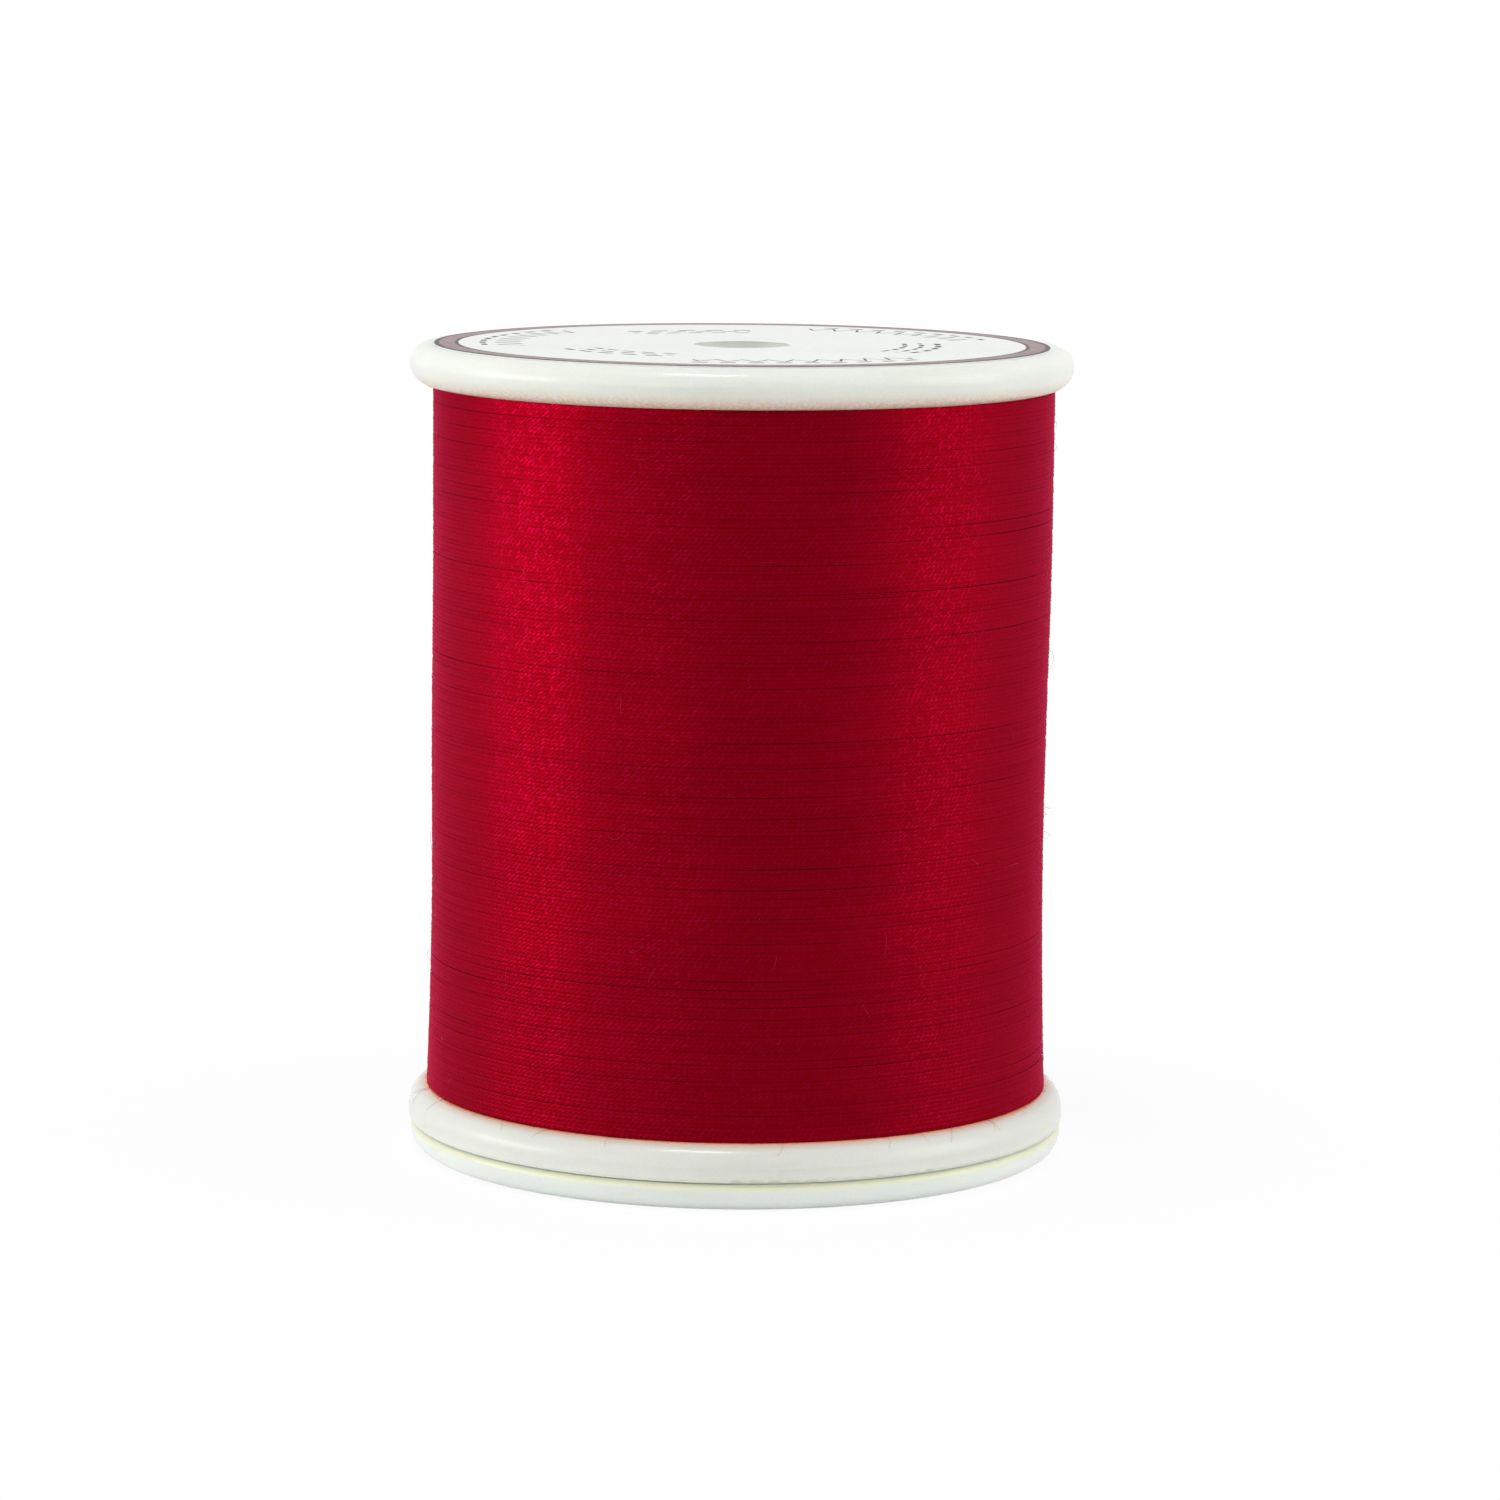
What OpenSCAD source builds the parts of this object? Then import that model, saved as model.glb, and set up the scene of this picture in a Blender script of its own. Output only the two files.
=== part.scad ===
// A snap spool of sewing thread: a white moulded spool, a base that pops open to
// hold the thread's end, a paper label and a full winding of red thread.
// Millimetres, +Z up. The origin is the centre of the underside, where the spool stands.

/* [Overall] */
// Diameter of the two flanges
flange_d = 44; // [40:0.5:60]
// Height from the table to the top of the label
spool_h = 54; // [44:0.5:90]

/* [Flanges] */
// Thickness of the upper flange at its rim
upper_flange_t = 2.65; // [2.2:0.05:4]
// Thickness of the lower flange at its rim
lower_flange_t = 2.45; // [2:0.05:4]
// How much thicker each flange is at the barrel than at its rim
flange_draft = 0.25; // [0:0.05:0.6]
// Rounding of both rims on the thread's side
thread_edge_r = 1.45; // [0.4:0.05:1.8]
// Rounding of the upper rim's top edge
top_edge_r = 1.1; // [0.3:0.05:1.5]
// Fillet where a flange meets the barrel
root_fillet_r = 0.5; // [0.2:0.1:1]

/* [Barrel and pin tube] */
// Outside diameter of the barrel that the thread is wound on
barrel_d = 32; // [24:0.5:34]
// Wall of the barrel
barrel_wall = 1.3; // [1:0.1:2]
// Bore for the sewing machine's spool pin
pin_bore_d = 6.4; // [5:0.1:9]
// Wall of the tube around the spool pin
pin_tube_wall = 1.4; // [0.8:0.1:2]
// Ribs between the pin tube and the barrel, two for each snap finger
rib_pairs = 6; // [4:1:7]
// Thickness of a rib
rib_t = 0.8; // [0.6:0.1:1.4]
// Wall that closes the barrel at the top
cap_wall = 1.6; // [1:0.1:2.5]
// Draft of the chambers, which narrow towards the top
chamber_draft = 0.2; // [0:0.05:0.4]

/* [Snap base] */
// Thickness of the base plate
base_t = 1.85; // [1.4:0.05:3]
// How much smaller the base is than the flange, on the radius
base_inset = 0.1; // [0:0.05:0.5]
// Rounding of the base's lower edge
base_edge_r = 1.4; // [0.3:0.05:1.5]
// Opening of the seam that grips the thread's end, less than a thread's thickness
seam_gap = 0.05; // [0.05:0.05:0.3]
// Rounding of the edges on both sides of the seam, which leads the thread in
seam_edge_r = 0.4; // [0.1:0.05:0.45]
// How far the base pulls out
base_travel = 2.5; // [1:0.1:3.5]
// Angle that each snap finger covers
finger_arc = 16; // [8:1:18]
// Thickness of a snap finger
finger_t = 1.2; // [0.8:0.1:1.6]
// Reach of the hook on each finger
hook_out = 0.6; // [0.4:0.05:0.9]
// Height of a hook
hook_h = 1.5; // [1:0.1:2]
// Height of the lip that holds the hooks
lip_h = 1.5; // [1:0.1:2]
// Lead-in at the lip's mouth and on the hooks
lead_in = 0.4; // [0.1:0.05:0.5]
// Sliding clearance between the catch's pieces
slide_clearance = 0.12; // [0.05:0.01:0.2]
// Clearance left between hook and lip with the base pulled out
stop_clearance = 0.05; // [0.02:0.01:0.1]
// Depth of the recess in the underside
foot_recess = 0.35; // [0:0.05:0.6]
// Width of the ring that the base stands on
foot_w = 3.2; // [2:0.1:5]
// Diameter of the flat around the base's hole
hub_d = 12; // [10:0.5:16]

/* [Label] */
// Diameter of the paper label
label_d = 40.8; // [36:0.1:41]
// Thickness of the label with its glue
label_t = 0.1; // [0.05:0.05:0.3]

/* [Thread] */
// Depth of the winding's surface below the rims, at its waist
winding_inset = 1.57; // [1:0.01:4]
// Height of the waist above the lower flange
waist_up = 16.4; // [8:0.1:30]
// How much the winding swells from its waist to the upper flange
top_swell = 0.14; // [0:0.01:0.5]
// How much the winding swells from its waist to the lower flange
foot_swell = 0.34; // [0:0.01:0.5]
// Depth of the outer layer of turns
layer_t = 0.7; // [0.6:0.05:1]
// Turns of the outer layer, each of which stands for about seven real turns
turns = 24; // [12:1:24]
// Gap between neighbouring turns
turn_gap = 0.48; // [0.45:0.01:0.6]
// Angle over which each turn climbs to the next, at the back; the rest lies level
climb_arc = 90; // [30:15:180]
// Clearance between the thread and what it lies on
thread_clearance = 0.05; // [0.02:0.01:0.1]

/* [Hidden] */

ROUND_FN = 144;
EDGE_FN = 48;
// Overlap of shapes that fuse, and overshoot of shapes that cut
FUSE = 0.3;

// Radii
flange_r = flange_d / 2;
base_r = flange_r - base_inset;
barrel_r = barrel_d / 2;
bore_r = pin_bore_d / 2;
tube_r = bore_r + pin_tube_wall;
mouth_r = barrel_r - barrel_wall;
hub_r = hub_d / 2;
foot_r = base_r - base_edge_r - foot_w;

// Heights
seam_z = base_t + seam_gap;
winding_low = seam_z + lower_flange_t;
cap_z = spool_h - label_t;
winding_high = cap_z - upper_flange_t;
chamber_top = cap_z - cap_wall;

// The catch: hooks on the base's fingers behind a lip in the barrel's mouth
finger_r = mouth_r - slide_clearance - hook_out;
hook_r = finger_r + hook_out;
lip_r = finger_r + slide_clearance;
lip_top = seam_z + lip_h;
hook_z = lip_top + base_travel + stop_clearance;
finger_top = hook_z + hook_h;
rib_count = 2 * rib_pairs;
rib_step = 360 / rib_count;

// The winding
RINGS = 24;
chord_cos = cos(180 / RINGS);
waist_r = flange_r - winding_inset;
waist_z = winding_low + waist_up;
turn_low = winding_low + thread_clearance;
turn_high = winding_high - thread_clearance;
turn_pitch = (turn_high - turn_low + turn_gap) / turns;
turn_w = turn_pitch - turn_gap;
RING_STEP = 360 / RINGS;
climb_rings = climb_arc / RING_STEP;
last_ring = turns * RINGS - climb_rings;
BACK = 90;
// Share of a turn's width that is bevelled on each side
TURN_BEVEL = 0.2;
CORE_STEPS = 12;

// Radius of the winding's surface at height z: a waist that swells to both flanges
function surface_r(z) =
    z > waist_z
        ? waist_r + top_swell * (1 - pow((winding_high - z) / (winding_high - waist_z), 2))
        : waist_r + foot_swell * pow((waist_z - z) / waist_up, 2);

function core_r(z) = surface_r(z) - layer_t;

// Height of a flange's drafted face over its rim's, at radius r
function draft_at(r) = flange_draft * (flange_r - r) / (flange_r - barrel_r);

// Scales two fillets down where the wall between them is too thin for both
function fit_fillet(r, other_r, wall) = min(r, 0.96 * wall * r / (r + other_r));

// Half section of a plate of radius r and thickness t, with rounded rim edges
module rim_plate(r, t, low_edge_r, high_edge_r) {
    intersection() {
        low_rounded_plate(r, t, fit_fillet(low_edge_r, high_edge_r, t));
        translate([0, t])
            mirror([0, 1])
                low_rounded_plate(r, t, fit_fillet(high_edge_r, low_edge_r, t));
    }
}

// Half section of a plate whose lower rim edge is rounded by edge_r
module low_rounded_plate(r, t, edge_r) {
    square([r - edge_r, t]);
    translate([0, edge_r])
        square([r, t - edge_r]);
    translate([r - edge_r, edge_r])
        circle(edge_r, $fn = EDGE_FN);
}

// Section of the drafted face and root fillet that a flange has above it
module flange_root() {
    thick = draft_at(barrel_r);
    polygon([
        [mouth_r, -FUSE],
        [flange_r - thread_edge_r, -FUSE],
        [flange_r - thread_edge_r, 0],
        [barrel_r, thick],
        [mouth_r, thick]
    ]);
    translate([barrel_r - FUSE, 0])
        difference() {
            square([root_fillet_r + FUSE, thick + root_fillet_r]);
            translate([root_fillet_r + FUSE, thick + root_fillet_r])
                circle(root_fillet_r, $fn = EDGE_FN);
        }
}

// Section of the space between the pin tube and the barrel, with the lip at its mouth
module chamber_section() {
    polygon([
        [tube_r, seam_z - FUSE],
        [lip_r + lead_in, seam_z - FUSE],
        [lip_r + lead_in, seam_z],
        [lip_r, seam_z + lead_in],
        [lip_r, lip_top],
        [mouth_r, lip_top],
        [mouth_r, finger_top + FUSE],
        [mouth_r - chamber_draft, chamber_top],
        [tube_r, chamber_top]
    ]);
}

module body_section() {
    difference() {
        union() {
            translate([0, seam_z])
                rim_plate(flange_r, lower_flange_t, seam_edge_r, thread_edge_r);
            translate([0, winding_high])
                rim_plate(flange_r, upper_flange_t, thread_edge_r, top_edge_r);
            translate([0, seam_z])
                square([barrel_r, cap_z - seam_z]);
            translate([0, winding_low])
                flange_root();
            translate([0, winding_high])
                mirror([0, 1])
                    flange_root();
        }
        chamber_section();
        translate([0, seam_z - FUSE])
            square([bore_r, spool_h]);
    }
    // The pin tube's foot, which rests on the closed base
    translate([bore_r, base_t])
        square([pin_tube_wall, seam_gap + FUSE]);
}

module rib() {
    translate([tube_r - FUSE, -rib_t / 2, seam_z])
        cube([mouth_r - tube_r + 2 * FUSE, rib_t, chamber_top - seam_z + FUSE]);
}

module spool_body() {
    color("#f3f4ee") {
        rotate_extrude($fn = ROUND_FN)
            body_section();
        for (i = [0 : rib_count - 1])
            rotate([0, 0, i * rib_step])
                rib();
    }
}

// Section of one snap finger, with its hook outwards
module finger_section() {
    polygon([
        [finger_r - finger_t, base_t - FUSE],
        [finger_r, base_t - FUSE],
        [finger_r, hook_z],
        [hook_r, hook_z],
        [hook_r, finger_top - 2 * lead_in],
        [hook_r - lead_in, finger_top],
        [finger_r - finger_t, finger_top]
    ]);
}

module base_section() {
    difference() {
        rim_plate(base_r, base_t, base_edge_r, seam_edge_r);
        translate([0, -FUSE])
            square([bore_r, base_t + 2 * FUSE]);
        translate([hub_r, -FUSE])
            square([foot_r - hub_r, FUSE + foot_recess]);
    }
}

module snap_base() {
    color("#eceee6") {
        rotate_extrude($fn = ROUND_FN)
            base_section();
        for (i = [0 : rib_pairs - 1])
            rotate([0, 0, (2 * i + 0.5) * rib_step - finger_arc / 2])
                rotate_extrude(angle = finger_arc, $fn = ROUND_FN)
                    finger_section();
    }
}

module top_label() {
    color("#fdfdfb")
        rotate_extrude($fn = ROUND_FN)
            translate([bore_r, cap_z])
                square([label_d / 2 - bore_r, label_t]);
}

module thread_inner_layers() {
    core_low = winding_low + thread_clearance;
    core_high = winding_high - thread_clearance;
    inside_r = barrel_r + thread_clearance;
    corner_r = inside_r + root_fillet_r;
    outside = [
        for (i = [0 : CORE_STEPS])
            let (z = core_low + (core_high - core_low) * i / CORE_STEPS)
                [core_r(z), z]
    ];
    low_draft = draft_at(corner_r);
    color("#a00a26")
        rotate_extrude($fn = ROUND_FN)
            polygon(concat(outside, [
                [corner_r, core_high - low_draft],
                [inside_r, core_high - low_draft - root_fillet_r],
                [inside_r, core_low + low_draft + root_fillet_r],
                [corner_r, core_low + low_draft]
            ]));
}

// The six corners of a turn's section, as [height, radius], over its lower edge z
function turn_section(z) =
    let (
        bevel = turn_w * TURN_BEVEL,
        mid_z = z + turn_w / 2,
        low_r = (core_r(mid_z) + thread_clearance) / chord_cos,
        high_r = surface_r(mid_z),
        mid_r = (low_r + high_r) / 2
    )
    [
        [z, mid_r],
        [z + bevel, low_r],
        [z + turn_w - bevel, low_r],
        [z + turn_w, mid_r],
        [z + turn_w - bevel, high_r],
        [z + bevel, high_r]
    ];

// Share of a climb that is done after part t of it, from 0 to 1, level at both ends
function eased(t) = t * t * (3 - 2 * t);

// Turns climbed at ring i: each turn lies level, then climbs by one pitch at the back
function turns_climbed(i) =
    let (into_climb = i % RINGS - (RINGS - climb_rings))
    floor(i / RINGS) + eased(max(0, into_climb) / climb_rings);

// Ring number i of the outer layer, moved along its own tangent by run
function turn_ring(i, run) =
    let (a = BACK + climb_arc / 2 + i * RING_STEP)
    [
        for (p = turn_section(turn_low + turn_pitch * turns_climbed(i)))
            [p[1] * cos(a) - run * sin(a), p[1] * sin(a) + run * cos(a), p[0]]
    ];

// The layer is one tube. Each end runs straight, square to its end face, for one width.
turn_rings = concat(
    [turn_ring(0, -turn_w)],
    [for (i = [0 : last_ring]) turn_ring(i, 0)],
    [turn_ring(last_ring, turn_w)]
);

// Least distance between a ring and the three nearest rings of the next turn
function gap_at(i) =
    min([
        for (j = [i + RINGS - 1 : min(i + RINGS + 1, len(turn_rings) - 1)])
            for (p = turn_rings[i])
                for (q = turn_rings[j])
                    norm(p - q)
    ]);

least_gap = min([for (i = [0 : len(turn_rings) - RINGS - 1]) gap_at(i)]);

module thread_outer_layer() {
    echo(str("least gap of the outer layer to itself, mm: ", least_gap));
    sides = len(turn_rings[0]);
    last = len(turn_rings) - 1;
    skin = [
        for (i = [0 : last - 1])
            for (k = [0 : sides - 1])
                let (
                    a = i * sides + k,
                    b = i * sides + (k + 1) % sides
                )
                each [[a, b, b + sides], [a, b + sides, a + sides]]
    ];
    start_face = [for (k = [1 : sides - 2]) [0, k + 1, k]];
    end_face = [for (k = [1 : sides - 2]) [last * sides, last * sides + k, last * sides + k + 1]];
    color("#c20d30")
        polyhedron(points = [for (r = turn_rings) each r], faces = concat(skin, start_face, end_face));
}

spool_body();
snap_base();
top_label();
thread_inner_layers();
thread_outer_layer();
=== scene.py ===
"""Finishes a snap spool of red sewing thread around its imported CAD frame.

The two white mouldings keep their CAD meshes and take a plastic finish. The paper label,
the turns of thread, the layer beneath them and the loose fibres are modelled here.
Everything is in metres, +Z up, with the spool standing on z = 0.
"""
import math

import bpy
import numpy as np
from mathutils import Matrix, Vector


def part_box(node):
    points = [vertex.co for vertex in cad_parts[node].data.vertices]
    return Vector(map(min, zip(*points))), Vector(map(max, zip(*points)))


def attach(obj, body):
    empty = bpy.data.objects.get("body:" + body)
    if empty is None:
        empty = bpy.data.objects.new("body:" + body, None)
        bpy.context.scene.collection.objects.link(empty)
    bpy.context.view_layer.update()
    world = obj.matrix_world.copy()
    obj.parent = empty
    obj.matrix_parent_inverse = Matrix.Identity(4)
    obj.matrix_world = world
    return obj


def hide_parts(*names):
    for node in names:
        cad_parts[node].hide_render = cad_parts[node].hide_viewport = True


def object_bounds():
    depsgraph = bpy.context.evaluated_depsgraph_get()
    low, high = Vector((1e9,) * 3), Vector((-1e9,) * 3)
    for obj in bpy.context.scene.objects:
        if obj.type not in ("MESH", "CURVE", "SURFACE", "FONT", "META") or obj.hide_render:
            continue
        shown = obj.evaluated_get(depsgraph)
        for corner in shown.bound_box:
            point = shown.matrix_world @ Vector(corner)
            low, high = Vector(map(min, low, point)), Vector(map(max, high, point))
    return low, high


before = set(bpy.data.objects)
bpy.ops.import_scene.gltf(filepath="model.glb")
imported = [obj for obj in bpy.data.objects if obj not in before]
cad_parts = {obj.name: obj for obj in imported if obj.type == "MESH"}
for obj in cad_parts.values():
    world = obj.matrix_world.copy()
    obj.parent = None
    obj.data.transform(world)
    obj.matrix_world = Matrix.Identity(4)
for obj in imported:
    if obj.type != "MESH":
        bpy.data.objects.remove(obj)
CAD_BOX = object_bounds()

bl_info = {
    "name": "Spool of Thread",
    "version": (1, 0, 0),
    "blender": (4, 5, 0),
    "location": "View3D > Sidebar > Spool",
    "description": "Finishes a snap spool of sewing thread, from its mouldings to its fibres",
    "category": "Object",
}

MM = 0.001

# Heights and radii of the CAD frame
WINDING_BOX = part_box("thread_outer_layer")
LABEL_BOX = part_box("top_label")
BODY_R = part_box("spool_body")[1].x
WINDING_LOW = WINDING_BOX[0].z - 0.05 * MM
WINDING_HIGH = WINDING_BOX[1].z + 0.05 * MM
LABEL_R = LABEL_BOX[1].x
CAP_Z = LABEL_BOX[0].z
BORE_R = 3.2 * MM
SEAM_Z = 1.875 * MM

# The winding's surface: a waist that swells towards both flanges
WAIST_R = 20.48 * MM
WAIST_Z = WINDING_LOW + 16.4 * MM
TOP_SWELL = 0.14 * MM
FOOT_SWELL = 0.34 * MM

# How much prouder the winding is on one side, over the heights where that sets in
LEAN = 0.16 * MM
LEAN_FROM = 24 * MM
LEAN_RISE = 18 * MM

# Rounding of the flanges' rims beside the winding, and where on it the winding ends
RIM_EDGE_R = 1.45 * MM
RIM_START = math.asin(0.16 * MM / RIM_EDGE_R)

# The label's rings of faces, from its edge to its hole, in millimetres
LABEL_SIDES = 192
LABEL_RINGS = (19.6, 18.8, 17.6, 16.0, 14.0, 12.0, 10.0, 8.0, 6.6, 5.4, 4.6, 4.0, 3.6, 3.3, 3.2)

# The label's sheet before it is laid down, the bevel of its cut edge, and its glue
PAPER_SHEET = 0.04 * MM
CUT_BEVEL = 0.012 * MM
GLUE = 0.002 * MM

# Angles at which the two layers of thread start, and how the outer one's ends dive under
OUTER_START = math.radians(96)
UNDER_START = math.radians(100)
END_DIVE = 0.24 * MM
END_TURNS = 0.85
LOOSE_STRETCHES = 260

# The layer beneath: how deep its crests lie, and its steps around one turn
UNDER_DEPTH = 0.12 * MM
UNDER_STEPS = 48

# Turns that a gap pushes aside on either side of it, and how fast that fades from turn to turn
PUSHED_TURNS = 9
PUSH_FADE = 2.8

# Seeds of the random draws
OUTER_SEED, UNDER_SEED, FIBRE_SEED = 7, 23, 41

# How far the floor lies below the base, so that their faces don't meet
FLOOR_DROP = 0.02 * MM

# Camera, in metres, degrees and millimetres of lens
CAMERA_PLACE = (0.0, -0.374985, 0.080255)
CAMERA_PITCH, CAMERA_YAW, CAMERA_ROLL = 8.1153, 0.1182, 0.5569
CAMERA_LENS = 135.72

# Lamps: azimuth from the camera and elevation, in degrees, then width and height
LAMP_DISTANCE = 0.62
LAMPS = (
    ("left_lamp", -82, 7, 0.40, 0.20),
    ("right_lamp", 79, 10, 0.38, 0.55),
    ("front_lamp", -30, 74, 0.18, 0.10),
    ("low_lamp", -34, 6, 0.34, 0.12),
)


# ---------------------------------------------------------------- sizes and colours


def color_setting(name, description, default):
    """A colour that a user would change."""
    return bpy.props.FloatVectorProperty(
        name=name, description=description, default=default, subtype="COLOR", size=3,
        min=0, max=1)


def length_setting(name, description, default, least=0.0):
    """A length that a user would change."""
    return bpy.props.FloatProperty(
        name=name, description=description, default=default, unit="LENGTH", min=least)


class MouldingSettings(bpy.types.PropertyGroup):
    """Finish of the two plastic mouldings."""

    body_color: color_setting("Spool colour", "Colour of the spool moulding", (0.775, 0.80, 0.74))
    base_color: color_setting("Base colour", "Colour of the snap base", (0.81, 0.865, 0.82))
    # Painted warm glow of light that passes through the plastic beside the seam
    seam_glow_color: color_setting(
        "Seam colour", "Warm tint that the plastic takes beside the seam", (0.81, 0.82, 0.54))
    # Painted glow of light through the plastic, brightening the shaded bore
    bore_glow_color: color_setting(
        "Bore colour", "Tint of the plastic inside the spool's bore", (0.98, 1.0, 0.87))
    # Painted shade and red bounce light from the thread, with some rubbed-off dye, beside the
    # winding
    rub_and_shade_color: color_setting(
        "Rubbed and shaded colour", "Tint of the plastic where it touches the thread", (0.66, 0.43, 0.28))
    # Painted orange glow of the thread's light on the shaded flat under the winding
    fringe_glow_color: color_setting(
        "Fringe colour", "Tint of the lower flange right under the thread", (1.0, 0.38, 0.18))
    speck_color: color_setting(
        "Speck colour", "Colour of the dust specks on the plastic", (0.30, 0.26, 0.20))
    gloss_roughness: bpy.props.FloatProperty(
        name="Roughness", description="Roughness of the moulded surface",
        min=0, max=1, default=0.42)
    glow_depth: length_setting(
        "Translucency depth", "How far light travels inside the plastic", 0.9 * MM)


class LabelSettings(bpy.types.PropertyGroup):
    """Paper disc on the upper flange."""

    paper_color: color_setting("Paper colour", "Colour of the bare paper", (0.89, 0.91, 0.88))
    band_color: color_setting(
        "Band colour", "Printed band around the label's edge", (0.32, 0.25, 0.256))
    ink_color: color_setting("Ink colour", "Printed stitch marks", (0.06, 0.05, 0.065))
    band_width: length_setting("Band width", "Width of the printed band", 1.6 * MM)
    paper_thickness: length_setting(
        "Paper thickness", "Thickness of the paper with its glue",
        LABEL_BOX[1].z - LABEL_BOX[0].z, 0.06 * MM)
    hole_dip: length_setting(
        "Dip at the hole", "How far the paper is pressed down around the hole", 0.045 * MM)


class WindingSettings(bpy.types.PropertyGroup):
    """Turns of sewing thread."""

    pitch: length_setting("Pitch", "Height from one turn to the next", 0.2685 * MM, 0.1 * MM)
    thread_depth: length_setting(
        "Thread depth", "Height of a turn's crown over its edges", 0.0085 * MM, 0.005 * MM)
    turn_tilt: bpy.props.FloatProperty(
        name="Turn tilt", description="How far each turn leans back against the turn above it",
        subtype="ANGLE", min=0, max=0.3, default=math.radians(6))
    steps: bpy.props.IntProperty(
        name="Steps", description="Steps around one turn", min=24, max=120, default=112)
    sides: bpy.props.IntProperty(
        name="Sides", description="Sides of the thread's section", min=5, max=8, default=5)
    gap_lines: bpy.props.IntProperty(
        name="Gap lines", description="Places where two turns stand apart",
        min=0, default=900)
    widest_gap: length_setting("Widest gap", "Widest opening between two turns", 0.032 * MM)
    crests: bpy.props.IntProperty(
        name="Ply crests", description="Crests of the ply twist along one turn",
        min=100, default=330)
    thread_color: color_setting(
        "Thread colour", "Colour of the dyed thread", (0.182, 0.0002, 0.0048))
    # The glint colour is a painted highlight on the crests that lie smooth
    glint_color: color_setting(
        "Glint colour", "Colour of the ply crests that lie smooth and shine", (0.25, 0.001, 0.030))
    # The shade colour is painted shade in the grooves of the ply twist
    shade_color: color_setting(
        "Shade colour", "Thread colour in the grooves of the ply twist", (0.153, 0.0002, 0.0038))
    patch_color: color_setting(
        "Patch colour", "Thread colour where the dye took a little deeper", (0.190, 0.0003, 0.0045))
    sheen_color: color_setting(
        "Sheen colour", "Colour of the fine nap seen edge on", (1.0, 0.045, 0.125))


class FibreSettings(bpy.types.PropertyGroup):
    """Loose fibres that stand off the thread."""

    count: bpy.props.IntProperty(
        name="Fibres", description="Loose fibres on the winding", min=0, default=80)
    flange_count: bpy.props.IntProperty(
        name="Fibres on the flange", description="Fibres that hang over the lower flange",
        min=0, default=34)
    fuzz_count: bpy.props.IntProperty(
        name="Fuzz", description="Tufts of fuzz where the thread meets each flange",
        min=0, default=420)
    thickness: length_setting("Fibre thickness", "Thickness of one fibre", 0.018 * MM, 0.005 * MM)
    fibre_color: color_setting("Fibre colour", "Colour of a single fibre", (0.50, 0.010, 0.035))


class StageSettings(bpy.types.PropertyGroup):
    """Camera, lamps, world and floor."""

    floor_size: length_setting("Floor size", "Length of the floor's sides", 3.0, 0.5)
    ambient: bpy.props.FloatProperty(
        name="Ambient", description="Strength of the even light from all around",
        min=0, default=0.60)
    left_lamp: bpy.props.FloatProperty(
        name="Left lamp", description="Power of the soft lamp on the left, in watts",
        min=0, default=1.32)
    right_lamp: bpy.props.FloatProperty(
        name="Right lamp", description="Power of the soft lamp on the right, in watts",
        min=0, default=1.82)
    front_lamp: bpy.props.FloatProperty(
        name="Front lamp", description="Power of the small lamp above the camera, in watts",
        min=0, default=1.1)
    low_lamp: bpy.props.FloatProperty(
        name="Low lamp", description="Power of the weak lamp low beside the camera, in watts",
        min=0, default=0.20)


# ---------------------------------------------------------------- shared helpers


def settings():
    """The spool's settings on the current scene."""
    return bpy.context.scene.spool


def deselect_all():
    """Clears the selection, so an operator only meets what is picked after it."""
    if bpy.context.object and bpy.context.object.mode != "OBJECT":
        bpy.ops.object.mode_set(mode="OBJECT")
    bpy.ops.object.select_all(action="DESELECT")


def activate(obj):
    """Selects only this object."""
    deselect_all()
    obj.select_set(True)
    bpy.context.view_layer.objects.active = obj


def apply_place(obj):
    """Moves the object's place, turn and scale into its mesh."""
    activate(obj)
    bpy.ops.object.transform_apply(location=True, rotation=True, scale=True)


def apply_modifiers(obj):
    """Applies every modifier in its order."""
    activate(obj)
    for modifier in list(obj.modifiers):
        bpy.ops.object.modifier_apply(modifier=modifier.name)


def points_of(mesh):
    """The mesh's vertices as an array, one row each."""
    flat = np.empty(len(mesh.vertices) * 3)
    mesh.vertices.foreach_get("co", flat)
    return flat.reshape(-1, 3)


def set_points(mesh, points):
    """Puts the mesh's vertices where the array says."""
    mesh.vertices.foreach_set("co", points.ravel())
    mesh.update()


def smooth_shade(obj, angle=None):
    """Shades the object smooth, with hard edges over the angle if one is given."""
    activate(obj)
    if angle is None:
        bpy.ops.object.shade_smooth()
    else:
        bpy.ops.object.shade_smooth_by_angle(angle=angle)


def finish_piece(obj, material, nodes=()):
    """Gives a new piece its material, its body and the CAD nodes that it stands for."""
    obj.data.materials.clear()
    obj.data.materials.append(material)
    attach(obj, "spool")
    if nodes:
        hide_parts(*nodes)


def surface_radius(z):
    """Crest radius of the winding at height z."""
    up = np.clip((z - WAIST_Z) / (WINDING_HIGH - WAIST_Z), 0, 1)
    down = np.clip((WAIST_Z - z) / (WAIST_Z - WINDING_LOW), 0, None)
    return WAIST_R + TOP_SWELL * (1 - (1 - up) ** 2) + FOOT_SWELL * down ** 2


def lopsided(angle, z):
    """How much prouder the winding is on the +X side, towards its top."""
    part = np.clip((z - LEAN_FROM) / LEAN_RISE, 0, 1)
    return LEAN * part * part * (3 - 2 * part) * np.cos(angle)


def bump_window(x):
    """Smooth window that is 1 at 0 and 0 from 1 outwards."""
    x = np.clip(np.abs(x), 0, 1)
    return (1 - x * x) ** 2


def smooth_noise(random, count, knots_per_step, spread):
    """Gentle random curve of count samples, with a knot every knots_per_step samples."""
    knots = random.normal(0, spread, int(count / knots_per_step) + 4)
    at = np.arange(count) / knots_per_step
    low = at.astype(int)
    part = at - low
    part = part * part * (3 - 2 * part)
    return knots[low] * (1 - part) + knots[low + 1] * part


# ---------------------------------------------------------------- shader helpers


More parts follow.
